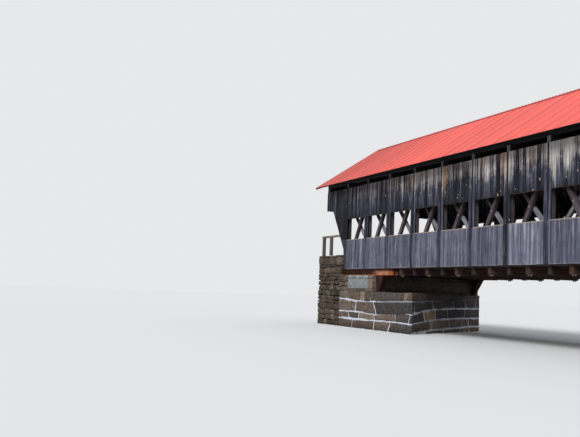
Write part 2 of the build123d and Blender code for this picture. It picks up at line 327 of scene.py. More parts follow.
skew_uprights = [
    [(0, 0, .5), (1.5, 1.6, .75), (3.4, 3.5, .7), (5.45, 5.38, .9), (6.7, 6.6, .85)],
    [(0, 0, .4), (1.84, 1.9, .8), (2.16, 2.2, .75), (4.2, 4.1, .7), (6.6, 6.5, .55)],
    [(0, 0, .15), (1.38, 1.18, .9), (2.6, 2.5, .2), (3.98, 3.95, .1), (6.0, 6.1, .3)],
    [(0, 0, .1), (.28, .27, .1), (2.3, 2.2, .2), (4.75, 4.65, .0), (6.2, 6.08, .25), (7.5, 7.4, .5)],
    [(0, 0, .5), (1.3, 1.2, .2), (2.9, 3.0, .35), (4.3, 4.2, .1), (6.0, 6.1, .3), (7.1, 7.0, .2)]]
base_stones = []
for turn, seed in ((1, 5), (-1, 11)):
    dice = random.Random(seed)
    base_stones += walled(near_back, base_corner, near_beds, near_uprights, dice, gap=near_joint,
                          mitre=(0, sharp_mitre), turn=turn, **base_stone)
    base_stones += walled(base_corner, base_heel, skew_beds, skew_uprights, dice, gap=skew_joint,
                          mitre=(sharp_mitre, blunt_mitre), turn=turn, **base_stone)
    far_uprights = [random_joints(base_heel.x - back, 0.6, 1.4, dice, 0.06) for _ in near_beds[1:]]
    base_stones += walled(base_heel, far_back, near_beds, far_uprights, dice, gap=near_joint,
                          mitre=(blunt_mitre, 0), turn=turn, **base_stone)
granite_base = joined("granite_base_stones", base_stones, smooth=True)


def core(name, plan, bottom, top, inset):
    """The mortar or hearting behind the stones of both ends: a plain block set back from their faces. Along
    the bridge it is set back more at the skew's sharp corner, less at the blunt one, and not at the back."""
    middle = sum(plan, Vector((0, 0))) / 4
    a, b, c, d = (Vector((v.x + math.copysign(inset * share, middle.x - v.x),
                          v.y + math.copysign(inset, middle.y - v.y)))
                  for v, share in zip(plan, (0, 2.2, 0.4, 0)))
    parts = []
    for turn in (1, -1):
        corners = [Vector((turn * v.x, turn * v.y, z)) for z in (bottom, top) for v in (a, b, d, c)]
        parts.append(rounded_block(corners, 0.5, 0.01, 0.004, 7))
    return joined(name, parts)


base_mortar = core("base_mortar", (near_back, base_corner, base_heel, far_back), 0.0, ledge - 0.015, 0.02)


def spot_on(finish):
    """Where a point of the surface lies: its place, and that place's X, Y and Z."""
    place = put(finish, "TexCoord").outputs["Object"]
    return (place, *put(finish, "SeparateXYZ", place).outputs)


def mottle(finish, place, scale, detail, roughness):
    """A cloudy pattern, from 0 to 1 and mostly near a half, with so many clouds to the metre."""
    return put(finish, "TexNoise", place, None, scale, detail, roughness).outputs["Fac"]


def dimmed(finish, colour, share):
    """A colour made darker, or lighter where the share is over 1."""
    return put(finish, "VectorMath", colour, None, None, share, operation="SCALE").outputs["Vector"]


def own_number(finish, fact):
    """A number that each stone or board carries for its finish."""
    return put(finish, "Attribute", attribute_name=fact).outputs["Fac"]


def ramped(finish, value, colours, spots=None):
    """Colours laid along a value from 0 to 1, evenly unless their spots are given."""
    ramp = put(finish, "ValToRGB", value)
    elements = ramp.color_ramp.elements
    while len(elements) < len(colours):
        elements.new(0.5)
    for n, (element, colour) in enumerate(zip(elements, colours)):
        element.position = spots[n] if spots else n / (len(colours) - 1)
        element.color = shade(*colour)
    return ramp.outputs["Color"]


def stone_finish(name, tones, damp, stain_share=0.55, speck_scale=24.0, faint=0.5, strong=1.45):
    """Split stone: its own tone, brown staining, mineral specks and patches from faint to strong, and a foot
    that is damp up to a height."""
    finish = new_finish(name, 0.9)
    place, _, _, rise = spot_on(finish)
    body = ramped(finish, own_number(finish, "tone"), tones)
    stain = ranged(finish, mottle(finish, place, 2.2, 5.0, 0.65), 0.42, 0.68, 0.0, stain_share)
    body = mixed(finish, stain, body, shade(96, 76, 58))
    speck = mottle(finish, place, speck_scale, 3.0, 0.7)
    patch = mottle(finish, place, 7.0, 4.0, 0.7)
    speck_light = ranged(finish, speck, 0.37, 0.63, faint, strong)
    patch_light = ranged(finish, patch, 0.36, 0.64, faint, strong)
    body = dimmed(finish, body, reckoned(finish, "MULTIPLY", speck_light, patch_light))
    body = dimmed(finish, body, ranged(finish, rise, 0.0, damp, 0.55, 1.0))
    coat(finish, body, reckoned(finish, "ADD", speck, patch), 0.6, 0.025)
    return finish


damp_foot = 0.3
granite_finish = stone_finish("split granite", [
    (52, 57, 60), (90, 88, 87), (112, 96, 84), (140, 126, 116), (190, 166, 134)], damp_foot)


def pale_mortar():
    """Pale pointing over grey bedding mortar. It is lost in patches, and gone just under the ledge, partly
    lost there and partly painted shade. In the upper courses where the wall stands under the deck it is
    darkened as painted shade."""
    finish = new_finish("pale mortar", 0.95, 0.1)
    place, x, _, z = spot_on(finish)
    pointed = ranged(finish, mottle(finish, place, 2.4, 6.0, 0.65), 0.30, 0.44, 0.0, 1.0)
    # Painted shade: darker just under the ledge, and in the upper beds under the deck.
    under_ledge = ranged(finish, z, 1.46, 1.56, 1.0, 0.12)
    under_deck = ranged(finish, reckoned(finish, "ABSOLUTE", x), 11.5, 12.1, 0.55, 0.0)
    upper_bed = ranged(finish, z, 1.2, 1.3, 0.0, 1.0)
    painted_deck_shade = reckoned(finish, "MULTIPLY", under_deck, upper_bed)
    pointing_shown = reckoned(finish, "SUBTRACT", under_ledge, painted_deck_shade, use_clamp=True)
    pointed = reckoned(finish, "MULTIPLY", pointed, pointing_shown)
    colour = mixed(finish, pointed, shade(84, 80, 78), shade(240, 244, 255))
    coat(finish, colour, mottle(finish, place, 60.0, 4.0, 0.7), 0.5, 0.01)
    return finish


in_place_of("abutment_bases", granite_base, granite_finish)
in_place_of("abutment_bases", base_mortar, pale_mortar())

# Seats: a long pale block of dressed granite on a thin levelling course, small pale stones over it up to the
# bolsters, and rubble where the wing wall bonds into it. They stand back on the bases, and their front is a
# little skewed.
seat_low, seat_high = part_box("abutment_seats")
seat_foot, seat_top = seat_low.z, seat_high.z
seat_corner = Vector((-12.602, -wide))
seat_heel = Vector((-13.402, wide))
seat_sharp_mitre, seat_blunt_mitre = 1.13, 0.89
levelling_course, top_course = 0.13, 0.16
bond = 0.97
pale_block = {"depth": 0.2, "gap": 0.014, "cell": 0.16, "soft": 0.018}
bonded_stone = {"depth": 0.2, "gap": 0.02, "cell": 0.12, "soft": 0.035, "rough": 0.03}
pale_beds = [[(0, z)] for z in (seat_foot, seat_foot + levelling_course, seat_top - top_course, seat_top)]
pale_uprights = [[(0, 0, .1), (1.0, 1.0, .0), (1.9, 1.9, .15)], [(0, 0, .75), (2.2, 2.18, .42)],
                 [(0, 0, .8), (.5, .5, .6), (.85, .85, .95), (1.3, 1.3, .7), (1.75, 1.75, .85),
                  (2.2, 2.2, .3)]]
bonded_beds = [[(u, seat_foot + rise) for u, rise in bed] for bed in (
    ((0, 0),), ((0, .2), (.4, .27), (.97, .22)), ((0, .5), (.5, .44), (.97, .52)))] + [[(0, seat_top)]]
bonded_uprights = [[(0, 0, .05), (.45, .5, .15)], [(0, 0, .1), (.3, .35, .0), (.62, .6, .15)],
                   [(0, 0, .0), (.5, .44, .1)]]
seat_stones = []
for turn, seed in ((1, 2), (-1, 8)):
    dice = random.Random(seed)
    bond_end = Vector((back + bond, -wide))
    seat_stones += walled(near_back, bond_end, bonded_beds, bonded_uprights, dice, turn=turn, **bonded_stone)
    seat_stones += walled(bond_end, seat_corner, pale_beds, pale_uprights, dice, rough=0.010,
                          mitre=(0, seat_sharp_mitre), turn=turn, **pale_block)
    # The skewed front and the back stones get a third of their tones: painted shade, for the shade under the
    # deck.
    for start, end, mitre in ((seat_corner, seat_heel, (seat_sharp_mitre, seat_blunt_mitre)),
                              (seat_heel, far_back, (seat_blunt_mitre, 0))):
        run = (end - start).length
        painted_shade_uprights = [[(u0, u1, 0.3 * tone) for u0, u1, tone in random_joints(run, short, long, dice)]
                         for short, long in ((.6, 1.1), (1.0, 1.9), (.4, .8))]
        seat_stones += walled(start, end, pale_beds, painted_shade_uprights, dice, rough=0.012, mitre=mitre, turn=turn,
                              **pale_block)
seat_blocks = joined("seat_blocks", seat_stones, smooth=True)
seat_bed = core("seat_bed", (near_back, seat_corner, seat_heel, far_back), seat_foot, seat_top, 0.03)
dressed_finish = stone_finish("dressed granite", [
    (96, 86, 76), (140, 124, 110), (150, 140, 130), (162, 168, 168), (180, 188, 190)],
    damp=0.05, stain_share=0.2, speck_scale=55.0, faint=0.66, strong=1.28)
hearting_finish = new_finish("dark hearting", 1.0, 0.0)
place = spot_on(hearting_finish)[0]
crumbs = mottle(hearting_finish, place, 30.0, 4.0, 0.7)
coat(hearting_finish, mixed(hearting_finish, crumbs, shade(26, 24, 22), shade(70, 62, 54)), crumbs, 0.6, 0.01)
in_place_of("abutment_seats", seat_blocks, dressed_finish)
in_place_of("abutment_seats", seat_bed, hearting_finish)


# Wing walls: dry field stones of many sizes, with no mortar, that hold the road up to the portals.
# Two skins of stone are laid back to back round a dark hearting, and flat stones cap the top.
def random_beds(run, top, dice):
    """Bed joints that wander up and down, closer together and further apart."""
    step = 0.35
    heights = [0.0]
    while top - heights[-1] > 0.42:
        heights.append(heights[-1] + dice.uniform(0.12, 0.32))
    heights.append(top)
    beds = []
    for n, height in enumerate(heights):
        wander = 0.0 if n in (0, len(heights) - 1) else 0.055
        beds.append([(u * step, height + dice.uniform(-wander, wander)) for u in range(int(run / step) + 2)])
    return beds


def block_corners(xs, ys, zs, turn=1):
    """The eight corners of a square block, along first, then across, then up."""
    return [Vector((turn * x, turn * y, z)) for z in zs for y in ys for x in xs]


wall_thick = 0.65
cope = 0.13
cope_gap = 0.008
hearting_inset = 0.09
cope_foot = wing_high.z - cope
field_stone = {"depth": wall_thick / 2, "gap": 0.018, "cell": 0.14, "soft": 0.05, "rough": 0.05}
rubble = []
for turn, seed in ((1, 21), (-1, 34)):
    for side in (-1, 1):
        dice = random.Random(seed + side)
        outer, inner = side * wide, side * (wide - wall_thick)
        for y, forward in ((outer, side < 0), (inner, side > 0)):
            start, end = (Vector((x, y)) for x in ((wing_low.x, back) if forward else (back, wing_low.x)))
            run = (end - start).length
            beds = random_beds(run, cope_foot, dice)
            uprights = [random_joints(run, 0.16, 0.55, dice, 0.06) for _ in beds[1:]]
            rubble += walled(start, end, beds, uprights, dice, turn=turn, **field_stone)
        x = wing_low.x
        while x < back - 0.01:
            length = min(dice.uniform(0.45, 0.9), back - x)
            if back - x - length < 0.3:
                length = back - x
            drop = dice.uniform(0.01, 0.04)
            corners = block_corners((x + cope_gap, x + length - cope_gap), sorted((outer, inner)),
                                    (cope_foot, wing_high.z - drop), turn)
            rubble.append(rounded_block(corners, 0.16, 0.035, 0.02, dice.uniform(0, 40),
                                        tone=dice.uniform(0.6, 1)))
            x += length
wing_stones = joined("wing_wall_stones", rubble, smooth=True)
hearting = []
for turn in (1, -1):
    for side in (-1, 1):
        faces_in = sorted((side * (wide - hearting_inset), side * (wide - wall_thick + hearting_inset)))
        corners = block_corners((wing_low.x + hearting_inset, back - 0.02), faces_in, (0.0, cope_foot), turn)
        hearting.append(rounded_block(corners, 0.4, 0.02, 0.01, 4))
wing_core = joined("wing_wall_hearting", hearting)
field_stone_finish = stone_finish("field stone", [
    (54, 52, 48), (82, 73, 64), (68, 63, 57), (104, 93, 80), (78, 71, 64), (130, 119, 103)], damp_foot)
in_place_of("wing_walls", wing_stones, field_stone_finish)
in_place_of("wing_walls", wing_core, hearting_finish)

# Approach fills: packed gravel and earth between the wing walls, level with the planks.
# Their ends are left as cut ground, with stones showing in layers of earth.
fill_finish = new_finish("packed gravel", 0.97, 0.1)
place = spot_on(fill_finish)[0]
stones = put(fill_finish, "TexVoronoi", place, None, 22.0).outputs
pebble = put(fill_finish, "SeparateXYZ", stones["Color"]).outputs["X"]
colour = mixed(fill_finish, pebble, shade(96, 84, 70), shade(176, 164, 146))
earth = ranged(fill_finish, mottle(fill_finish, place, 1.4, 5.0, 0.6), 0.4, 0.6, 0.15, 0.75)
colour = mixed(fill_finish, earth, colour, shade(112, 92, 70))
coat(fill_finish, colour, stones["Distance"], 0.8, 0.03, invert=True)
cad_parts["approach_fills"].material_slots[0].material = fill_finish


# Guard rails of the approaches: squared posts on the wing walls with one rail laid along their heads.
# They are bare softwood gone silver, fixed with spikes.
def eased(node, width, finish):
    """Softens the sawn edges of a timber node and gives it its finish. The corners of its solids are merged
    first, so that each timber is one piece."""
    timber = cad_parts[node]
    merge = timber.modifiers.new("merged corners", "WELD")
    merge.merge_threshold = 0.0005
    edge = timber.modifiers.new("eased edges", "BEVEL")
    edge.width = width
    edge.segments = 2
    edge.limit_method = "ANGLE"
    edge.angle_limit = math.radians(35)
    timber.material_slots[0].material = finish


def stretched(finish, place, scale):
    """A place scaled by its own share along each axis, which draws a pattern out along the smallest."""
    return put(finish, "Mapping", place, None, None, scale).outputs["Vector"]


along_bridge, across_bridge, upright = (0.7, 16, 16), (16, 0.7, 16), (16, 16, 0.7)


def timber_finish(name, dark, light, run=along_bridge, turn=(0, 0, 0), fold="", worn=(0, 0, 0),
                  worn_share=0.0, painted_shade_heights=(), weather=None, specular=0.25):
    """Sawn timber: grain along one axis, its own tone for each stick, checks, dirt, and worn bare patches.
    Where sticks lean both ways, fold mirrors an axis, so that one turn lays the grain along them all.
    painted_shade_heights gives two heights between which the greyed wood turns dark: painted shade, for the
    shade on the braces' upper ends.
    weather is a function of the finish and its colour, which gives the colour as the weather left it."""
    finish = new_finish(name, 0.85, specular)
    place, *axes = spot_on(finish)
    stick = put(finish, "NewGeometry").outputs["Random Per Island"]
    if fold:
        n = "XYZ".index(fold)
        axes[n] = reckoned(finish, "ABSOLUTE", axes[n])
        place = put(finish, "CombineXYZ", *axes).outputs[0]
    shift = reckoned(finish, "MULTIPLY", stick, 57.0)
    moved = put(finish, "VectorMath", place, shift, operation="ADD").outputs["Vector"]
    turned = put(finish, "VectorRotate", moved, rotation_type="EULER_XYZ")
    turned.inputs["Rotation"].default_value = [math.radians(v) for v in turn]
    laid_out = turned.outputs["Vector"]
    fibre = mottle(finish, stretched(finish, laid_out, run), 1.0, 6.0, 0.68)
    fine = mottle(finish, stretched(finish, laid_out, [v * 4.5 for v in run]), 1.0, 3.0, 0.6)
    both = reckoned(finish, "ADD", fibre, fine)
    grain = ranged(finish, both, 0.72, 1.28, 0.0, 1.0)
    colour = mixed(finish, grain, shade(*dark), shade(*light))
    if worn_share:
        cloud = mottle(finish, place, 1.1, 5.0, 0.7)
        patch = ranged(finish, cloud, 0.62 - worn_share / 3, 0.72 - worn_share / 3, 0.0, 0.85)
        colour = mixed(finish, reckoned(finish, "MULTIPLY", patch, grain), colour, shade(*worn))
    own_light = ranged(finish, stick, 0.0, 1.0, 0.74, 1.22)
    dirt = ranged(finish, mottle(finish, place, 2.5, 4.0, 0.6), 0.3, 0.7, 0.78, 1.12)
    colour = dimmed(finish, colour, reckoned(finish, "MULTIPLY", own_light, dirt))
    # Painted shade: the wood turns dark above the given heights.
    if painted_shade_heights:
        painted_shade_wood = mixed(finish, grain, shade(24, 19, 18), shade(62, 50, 46))
        colour = mixed(finish, ranged(finish, axes[2], *painted_shade_heights, 0.0, 0.8), colour, painted_shade_wood)
    if weather:
        colour = weather(finish, colour)
    coat(finish, colour, both, 0.6, 0.008)
    return finish


eased("approach_rails", 0.012, timber_finish("silvered rail", (104, 92, 82), (176, 160, 142)))
eased("rail_posts", 0.012, timber_finish("silvered rail post", (84, 76, 72), (140, 130, 124), upright))


# Bolsters and brackets: stained softwood timbers that carry the chords out over the edge of the seats.
# The stain is rust orange where the weather reaches it and brown behind. On the bolsters the dark over the
# seats is partly stain and partly painted shade, and a dark band along the top is a painted shadow of the
# siding. Each bracket is one tapered block.
def rust_stain_and_painted_shade(finish, colour):
    """Dark over the seats, partly stain and partly painted shade, and a painted shadow of the siding along
    the bolster's top; orange out in the open and along its foot.
    """
    place, x, _, z = spot_on(finish)
    cloud = mottle(finish, place, 4.0, 5.0, 0.7)
    ragged_out = reckoned(finish, "MULTIPLY_ADD", cloud, 1.2, reckoned(finish, "ABSOLUTE", x))
    ragged_height = reckoned(finish, "MULTIPLY_ADD", cloud, 0.06, z)
    over_seat = ranged(finish, ragged_out, 12.9, 13.5, 0.0, 0.92)
    over_foot = ranged(finish, ragged_height, 2.67, 2.71, 0.45, 1.0)
    # Painted shadow of the siding along the bolster's top.
    painted_siding_shadow = ranged(finish, ragged_height, 2.80, 2.86, 0.0, 0.8)
    dark = reckoned(finish, "MAXIMUM", reckoned(finish, "MULTIPLY", over_seat, over_foot), painted_siding_shadow)
    return mixed(finish, dark, colour, shade(27, 14, 9))


bolster_finish = timber_finish("rust stained bolster, painted shade", (120, 58, 30), (232, 140, 92), worn=(240, 190, 160),
                               worn_share=0.5, weather=rust_stain_and_painted_shade, specular=0.05)
bracket_finish = timber_finish("rust stained bracket", (34, 19, 16), (80, 48, 40), (12, 12, 0.9))
eased("bolsters", 0.012, bolster_finish)
eased("bolster_brackets", 0.012, bracket_finish)


# Floor: cross beams hung under the chords by rods, stringers laid over them, and planks spiked across.
# The beams are rough fir, and each rod passes between the leaves of a chord to a plate above and below.
def bolt_end(centre, axis, plate, nut, rod, thick=0.010):
    """A square plate washer, a hexagon nut and the rod's end, standing out from a face along an axis."""
    axis = Vector(axis)
    side = axis.orthogonal().normalized() if abs(axis.z) < 0.5 else Vector((1, 0, 0))
    up = axis.cross(side)
    half_diagonal, eighth_turn = 0.707, 0.785
    points = []
    faces = []
    for radius, count, low, high, start in ((plate * half_diagonal, 4, 0.0, thick, eighth_turn),
                                            (nut, 6, thick, thick + nut * 0.9, 0.0),
                                            (rod, 8, thick, thick + nut * 1.5, 0.0)):
        first = len(points)
        for out in (low, high):
            for n in range(count):
                angle = start + n * math.tau / count
                spoke = side * math.cos(angle) + up * math.sin(angle)
                points.append(Vector(centre) + axis * out + spoke * radius)
        for n in range(count):
            m = (n + 1) % count
            faces.append((first + n, first + m, first + count + m, first + count + n))
        faces.append(tuple(first + count + n for n in range(count)))
        faces.append(tuple(first + n for n in reversed(range(count))))
    return points, faces, {}


eased("floor_beams", 0.012, timber_finish("rough floor timber", (42, 30, 26), (102, 76, 66), across_bridge))
# Painted shade: the stringers are coloured near black for the shade under the planks.
eased("stringers", 0.008, timber_finish("rough stringer", (30, 24, 22), (64, 50, 44)))
bay = 2.286
beam_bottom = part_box("floor_beams")[0].z
chord_low, chord_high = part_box("lower_chord_near")
chord_inner = -chord_high.y
rod_line = (-chord_low.y + chord_inner) / 2
rod_spread = 0.06
hanger = {"nut": 0.032, "rod": 0.016}
hangers = []
for n in range(-5, 5):
    for side in (-1, 1):
        for step in (-rod_spread, rod_spread):
            x = (n + 0.5) * bay + step
            y = side * rod_line
            hangers.append(bolt_end((x, y, beam_bottom), (0, 0, -1), plate=0.10, **hanger))
            hangers.append(bolt_end((x, y, chord_high.z), (0, 0, 1), plate=0.26, thick=0.016, **hanger))
hanger_rods = joined("hanger_rods", hangers)
iron_finish = new_finish("old iron", 0.6, 0.5, metallic=0.7)
pits = mottle(iron_finish, spot_on(iron_finish)[0], 40.0, 4.0, 0.7)
rust = ranged(iron_finish, pits, 0.42, 0.6, 0.0, 1.0)
coat(iron_finish, mixed(iron_finish, rust, shade(176, 170, 164), shade(110, 66, 44)), pits, 0.4, 0.003)
hanger_rods.data.materials.append(iron_finish)

box_faces = [(0, 2, 3, 1), (4, 5, 7, 6), (0, 1, 5, 4), (2, 6, 7, 3), (0, 4, 6, 2), (1, 3, 7, 5)]
deck_low, deck_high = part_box("deck_planks")
plank_gap = 0.003
plank_bend = 0.0015
dice = random.Random(4)
planks = []
x = deck_low.x
while x < deck_high.x - 0.02:
    width = min(dice.uniform(0.19, 0.28), deck_high.x - x)
    corners = block_corners((x + plank_gap, x + width - plank_gap),
                            (deck_low.y + dice.uniform(0.002, 0.02), deck_high.y - dice.uniform(0.002, 0.02)),
                            (deck_low.z, deck_high.z - 0.003))
    bent = [v + Vector([dice.uniform(-plank_bend, plank_bend) for _ in range(3)]) for v in corners]
    planks.append((bent, box_faces, {}))
    x += width
plank_floor = joined("floor_planks", planks)
plank_finish = timber_finish("worn planks", (78, 66, 56), (152, 134, 114), across_bridge)
in_place_of("deck_planks", plank_floor, plank_finish)


# Trusses: chords of two leaves that clasp the posts, main braces between the posts from corner to corner,
# and lighter counterbraces bolted across on the inside. All is old sawn spruce, greyed by the windows. The
# braces are painted dark toward their upper ends: painted shade, under the upper siding and eaves.
def browned_foot(finish, colour):
    """The posts are brown at the foot, under the floor, where no daylight greys them."""
    low_part = ranged(finish, spot_on(finish)[3], 2.9, 3.1, 1.0, 0.0)
    browned = mixed(finish, 0.85, colour, shade(150, 118, 100), blend_type="MULTIPLY")
    return mixed(finish, low_part, colour, browned)


main_lean = math.degrees(math.atan2(3.44, 2.086))
counter_lean = math.degrees(math.atan2(2.37, 2.286))
truss_along = timber_finish("truss timber, level", (46, 38, 36), (112, 98, 92))
truss_upright = timber_finish("truss timber, upright", (46, 42, 44), (112, 106, 108), upright,
                              weather=browned_foot)
truss_main = timber_finish("truss timber, main braces", (50, 42, 47), (130, 116, 124),
                           turn=(0, -main_lean, 0), fold="X", painted_shade_heights=(4.7, 5.5))
truss_counter = timber_finish("truss timber, counterbraces", (72, 71, 78), (184, 184, 192),
                              turn=(0, counter_lean, 0), fold="X", painted_shade_heights=(4.95, 5.2))
for side in ("near", "far"):
    for node, wood in (("lower_chord", truss_along), ("upper_chord", truss_along),
                       ("truss_posts", truss_upright), ("main_braces", truss_main),
                       ("counterbraces", truss_counter)):
        eased(f"{node}_{side}", 0.010, wood)
main_face = -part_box("main_braces_near")[0].y
counter_face = -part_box("counterbraces_near")[1].y
siding_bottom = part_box("siding_lower_near")[0].z
upper_low, upper_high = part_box("upper_chord_near")
lower_middle, upper_middle = chord_low.z + 0.165, (upper_low.z + upper_high.z) / 2
crossing, crossing_rise = 1.13, 2.10
bolt_spread = 0.05
truss_bolt = {"plate": 0.09, "nut": 0.026, "rod": 0.013}
truss_bolts = []
for side in (-1, 1):
    for n in range(-7, 8):
        for step in (-bolt_spread, bolt_spread):
            for z in (lower_middle + step, upper_middle - step):
                spot = (n * bay + step, side * chord_inner, z)
                truss_bolts.append(bolt_end(spot, (0, -side, 0), **truss_bolt))
    for n in range(-7, 7):
        x = n * bay + (crossing if n < 0 else bay - crossing)
        z = siding_bottom + crossing_rise
        truss_bolts.append(bolt_end((x, side * main_face, z), (0, side, 0), **truss_bolt))
        truss_bolts.append(bolt_end((x, side * counter_face, z), (0, -side, 0), **truss_bolt))
truss_bolt_ends = joined("truss_bolts", truss_bolts)
truss_bolt_ends.data.materials.append(iron_finish)


# Timbers over the trusses: tie beams, crossed lateral braces, wall plates, rafters and ridge board.
# They are rough sawn and dark with age, and the roof's timbers are coloured near black as painted shade,
# for the deep shade under the roof. The tie beams' ends above the siding are pale, partly silvered and
# partly a painted highlight.
def silvered_and_lit_ends(finish, colour):
    """End grain made pale: partly silvered by the weather, partly a painted highlight for the light on the
    ends while their sides stand in shade. It is paler toward the near road end.
    """
    faces_out = put(finish, "SeparateXYZ", put(finish, "NewGeometry").outputs["Normal"]).outputs["Y"]
    # Painted highlight: the faces across the bridge, the ends, are made pale.
    end_grain = ranged(finish, reckoned(finish, "ABSOLUTE", faces_out), 0.5, 0.8, 0.0, 1.0)
    toward_near_end = ranged(finish, spot_on(finish)[1], -9.0, 3.0, 0.0, 1.0)
    silver = mixed(finish, toward_near_end, shade(116, 116, 122), shade(196, 194, 194))
    return mixed(finish, end_grain, colour, silver)


roof_slant = 33.4
tie_finish = timber_finish("tie beam", (40, 36, 36), (84, 78, 76), across_bridge, weather=silvered_and_lit_ends)
# Painted shade: the roof timbers and rafters are coloured near black for the deep shade under the roof.
roof_along = timber_finish("roof timber, level", (26, 24, 26), (58, 54, 56))
rafter_finish = timber_finish("rafter", (24, 22, 24), (52, 48, 48), across_bridge, turn=(roof_slant, 0, 0),
                              fold="Y")
strut_finish = timber_finish("hood strut", (54, 48, 48), (116, 106, 104), turn=(0, 60, 0), fold="X")
for node, width, wood in (("tie_beams", 0.010, tie_finish), ("lateral_braces", 0.006, roof_along),
                          ("wall_plates", 0.008, roof_along), ("rafters", 0.006, rafter_finish),
                          ("ridge_board", 0.004, roof_along), ("barge_boards_near", 0.004, rafter_finish),
                          ("barge_boards_far", 0.004, rafter_finish), ("hood_struts", 0.008, strut_finish)):
    eased(node, width, wood)

# Roof: boards nailed along over the rafters, and ribbed steel sheets from eave to ridge, painted red.
# The sheets lap at a tall rib every 0.86 m, with low ribs between, and a bent cap covers the ridge.
roof_low, roof_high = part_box("roof_slope_near")
eave = -roof_low.y
pitch = math.tan(math.radians(roof_slant))
ridge_z = roof_high.z
sheet_width = 0.86
first_rib = roof_low.x + 0.004


def red_paint():
    """Faded red paint: chalky runs down the slope, dirt at the laps between sheets, and painted shade toward
    both ends of the roof, for the shade of trees over them. No two sheets have quite the same red."""
    finish = new_finish("faded red paint", 0.5, 0.4)
    place, x, _, _ = spot_on(finish)
    runs = mottle(finish, stretched(finish, place, (9, 0.5, 0.5)), 1.0, 5.0, 0.65)
    chalk = ranged(finish, runs, 0.35, 0.7, 0.0, 1.0)
    colour = mixed(finish, chalk, shade(246, 88, 75), shade(255, 109, 90))
    faded = ranged(finish, mottle(finish, place, 0.35, 4.0, 0.6), 0.35, 0.65, 0.0, 0.5)
    colour = mixed(finish, faded, colour, shade(244, 97, 93))
    from_end = reckoned(finish, "ADD", x, -first_rib)
    past_seam = reckoned(finish, "FLOORED_MODULO", from_end, sheet_width)
    sheet_number = reckoned(finish, "FLOOR", reckoned(finish, "DIVIDE", from_end, sheet_width))
    sheet_dice = put(finish, "TexWhiteNoise", None, sheet_number, noise_dimensions="1D").outputs["Value"]
    seam_strength = ranged(finish, sheet_dice, 0.0, 1.0, 0.12, 0.5)
    in_seam = ranged(finish, past_seam, 0.045, 0.065, 1.0, 0.0)
    seam_dirt = reckoned(finish, "MULTIPLY", in_seam, seam_strength)
    colour = mixed(finish, seam_dirt, colour, shade(150, 48, 48))
    # Painted shade: the roof grows darker toward both ends, as under trees.
    painted_tree_shade = ranged(finish, reckoned(finish, "ABSOLUTE", x), 9.0, 18.5, 1.0, 0.62)
    own_light = ranged(finish, sheet_dice, 0.0, 1.0, 1.03, 0.95)
    colour = dimmed(finish, colour, reckoned(finish, "MULTIPLY", painted_tree_shade, own_light))
    coat(finish, colour, mottle(finish, place, 3.5, 3.0, 0.5), 0.25, 0.01)
    return finish


def flipped(faces):
    """The same faces, turned to look the other way."""
    return [face[::-1] for face in faces]


def roof_z(y):
    """Height of the roof's outer plane at a distance from the centreline."""
    return ridge_z - abs(y) * pitch


rib_lines = []
x = first_rib
while x < roof_high.x - 0.02:
    rib_lines.append(x)
    x += sheet_width / 4
tall_rib, low_rib = (0.022, 0.008, 0.021), (0.020, 0.008, 0.007)
sheet_start, sheet_end = roof_low.x + 0.002, roof_high.x - 0.002
profile = []
for n, x in enumerate(rib_lines):
    foot_half, top_half, rise = low_rib if n % 4 else tall_rib
    for dx, up in ((-foot_half, 0.0), (-top_half, rise), (top_half, rise), (foot_half, 0.0)):
        if sheet_start <= x + dx <= sheet_end:
            profile.append((x + dx, up))
profile = [(sheet_start, profile[0][1])] + profile + [(sheet_end, 0.0)]
pan_drop = 0.024
lap = 1.75
lap_width, lap_lift = 0.08, 0.0025
sheet_thick = 0.0015
board_top, board_foot = 0.0265, 0.054
roof_finish = red_paint()
for side, name in ((-1, "near"), (1, "far")):
    parts = []
    for y0, y1, lift in ((0.012, lap + lap_width, lap_lift), (lap, eave - 0.003, 0.0)):
        points = [Vector((x, side * y, roof_z(y) - pan_drop + up + lift - under))
                  for y in (y0, y1) for under in (0.0, sheet_thick) for x, up in profile]
        count = len(profile)
        faces = []
        for a in range(count - 1):
            top, top_under, foot, foot_under = ((a + row * count, a + 1 + row * count) for row in range(4))
            faces += [(*top, *foot[::-1]), (*top_under[::-1], *foot_under), (top[0], *top_under, top[1]),
                      (foot[1], *foot_under[::-1], foot[0])]
        parts.append((points, flipped(faces) if side > 0 else faces, {}))
    in_place_of(f"roof_slope_{name}", joined(f"roof_sheets_{name}", parts), roof_finish)
    dice = random.Random(12 + side)
    boards = []
    y = 0.01
    while y < eave - 0.02:
        width = min(dice.uniform(0.17, 0.25), eave - 0.006 - y)
        ends = [roof_low.x + 0.01]
        while ends[-1] < roof_high.x - 0.1:
            ends.append(min(ends[-1] + dice.uniform(3.2, 4.9), roof_high.x - 0.01))
        for x0, x1 in zip(ends, ends[1:]):
            corners = [Vector((x, side * v, roof_z(v) - drop)) for drop in (board_foot, board_top)
                       for v in (y + 0.003, y + width - 0.003) for x in (x0 + 0.002, x1 - 0.002)]
            boards.append((corners, flipped(box_faces) if side < 0 else box_faces, {}))
        y += width
    in_place_of(f"roof_slope_{name}", joined(f"roof_boards_{name}", boards), roof_along)

